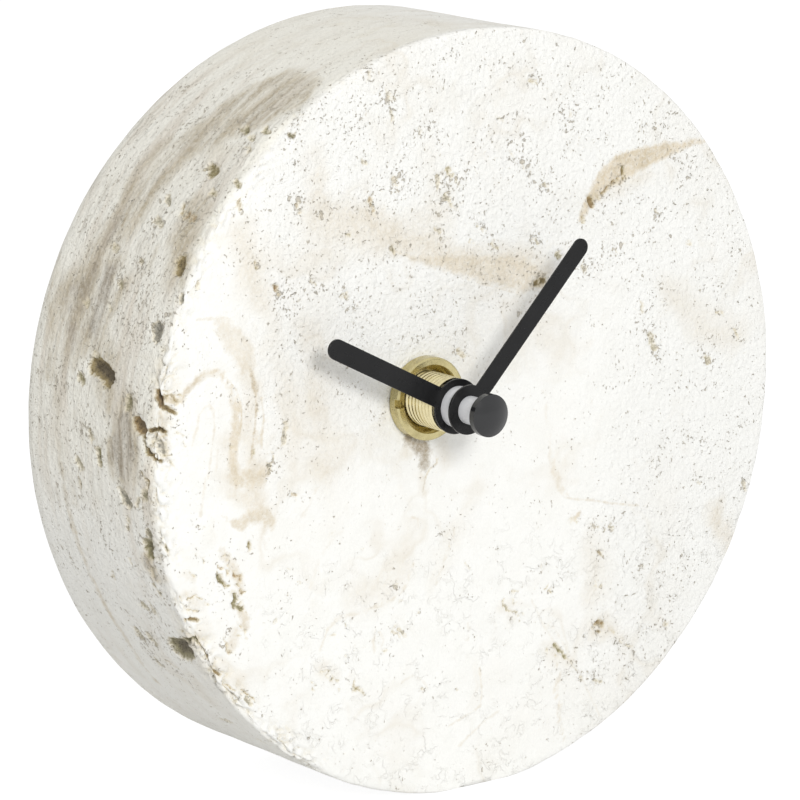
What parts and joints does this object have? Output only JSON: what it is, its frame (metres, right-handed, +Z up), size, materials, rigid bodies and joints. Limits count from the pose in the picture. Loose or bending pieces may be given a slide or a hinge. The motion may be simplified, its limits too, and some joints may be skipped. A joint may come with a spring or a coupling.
{
  "type": "table clock",
  "caption": "Round stone table clock with a plain face, an off-centre brass fixing nut, two black baton hands and a quartz movement in a pocket at the back.",
  "frame": {"origin": "centre of the flat foot under the drum, at half its depth", "axes": "+Z up, -Y out of the front face towards the viewer, +X to the right as seen from the front"},
  "size_m": [0.11, 0.0511, 0.1094],
  "materials": {
    "travertine": "honed, pitted",
    "washer_rubber": "matte",
    "nut_brass": "worn satin",
    "tube_brass": "satin",
    "case_plastic": "moulded",
    "cover_plastic": "fine texture",
    "knob_plastic": "moulded",
    "screw_steel": "satin",
    "plate_plastic": "moulded",
    "wheel_plastic": "moulded",
    "pipe_plastic": "satin moulded",
    "magnet_ferrite": "matte",
    "soft_iron": "stamped",
    "bobbin_plastic": "moulded",
    "winding_copper": "enamelled",
    "board": "lacquered",
    "chip_resin": "cured drop",
    "crystal_can": "drawn",
    "contact_steel": "nickel plated",
    "cell_wrap": "plain wrapper",
    "hand_lacquer": "satin black",
    "cap_lacquer": "semi-gloss black"
  },
  "bodies": {
    "clock_body": {"stone_body": "travertine", "rubber_washer": "washer_rubber", "fixing_nut": "nut_brass", "threaded_tube": "tube_brass", "movement_case": "case_plastic", "back_cover": "cover_plastic", "cover_screws": "screw_steel", "middle_plate": "plate_plastic", "rear_bridge": "plate_plastic", "bridge_screws": "screw_steel", "stator": "soft_iron", "coil_core": "soft_iron", "coil_bobbin": "bobbin_plastic", "coil_winding": "winding_copper", "circuit_board": "board", "chip_cover": "chip_resin", "quartz_crystal": "crystal_can", "contact_plus": "contact_steel", "contact_minus": "contact_steel", "battery": "cell_wrap"},
    "minute": {"minute_hand": "hand_lacquer", "minute_pipe": "pipe_plastic"},
    "hour": {"hour_hand": "hand_lacquer", "hour_wheel": "pipe_plastic"},
    "reverser": {"reverser_wheel": "wheel_plastic"},
    "setting": {"setting_gear": "wheel_plastic", "setting_knob": "knob_plastic"},
    "second": {"second_wheel": "wheel_plastic", "centre_cap": "cap_lacquer"},
    "drive": {"drive_wheel": "wheel_plastic"},
    "third": {"third_wheel": "wheel_plastic"},
    "intermediate": {"intermediate_wheel": "wheel_plastic"},
    "rotor": {"rotor_pinion": "wheel_plastic", "rotor_magnet": "magnet_ferrite"}
  },
  "joints": [
    {"name": "minute_turn", "type": "hinge", "parent": "clock_body", "child": "minute", "pos_m": [-0.00975, 0, 0.05838], "axis": [0, 1, 0], "continuous": true},
    {"name": "hour_turn", "type": "hinge", "parent": "clock_body", "child": "hour", "pos_m": [-0.00975, 0, 0.05838], "axis": [0, 1, 0], "continuous": true},
    {"name": "reverser_turn", "type": "hinge", "parent": "clock_body", "child": "reverser", "pos_m": [-0.02014, 0, 0.06438], "axis": [0, 1, 0], "continuous": true},
    {"name": "setting_turn", "type": "hinge", "parent": "clock_body", "child": "setting", "pos_m": [-0.02442, 0, 0.05263], "axis": [0, 1, 0], "continuous": true},
    {"name": "second_turn", "type": "hinge", "parent": "clock_body", "child": "second", "pos_m": [-0.00975, 0, 0.05838], "axis": [0, 1, 0], "continuous": true},
    {"name": "drive_turn", "type": "hinge", "parent": "clock_body", "child": "drive", "pos_m": [-0.00975, 0, 0.05838], "axis": [0, 1, 0], "continuous": true},
    {"name": "third_turn", "type": "hinge", "parent": "clock_body", "child": "third", "pos_m": [-0.00326, 0, 0.06487], "axis": [0, 1, 0], "continuous": true},
    {"name": "intermediate_turn", "type": "hinge", "parent": "clock_body", "child": "intermediate", "pos_m": [-0.01849, 0, 0.06156], "axis": [0, 1, 0], "continuous": true},
    {"name": "rotor_turn", "type": "hinge", "parent": "clock_body", "child": "rotor", "pos_m": [-0.01976, 0, 0.06874], "axis": [0, 1, 0], "continuous": true}
  ],
  "couplings": [
    {"joint": "hour_turn", "follows": "minute_turn", "ratio": 0.083333},
    {"joint": "reverser_turn", "follows": "minute_turn", "ratio": -0.33333},
    {"joint": "setting_turn", "follows": "minute_turn", "ratio": 0.85714},
    {"joint": "rotor_turn", "follows": "second_turn", "ratio": 30},
    {"joint": "intermediate_turn", "follows": "second_turn", "ratio": -5},
    {"joint": "third_turn", "follows": "second_turn", "ratio": -0.13333},
    {"joint": "drive_turn", "follows": "second_turn", "ratio": 0.016667}
  ]
}
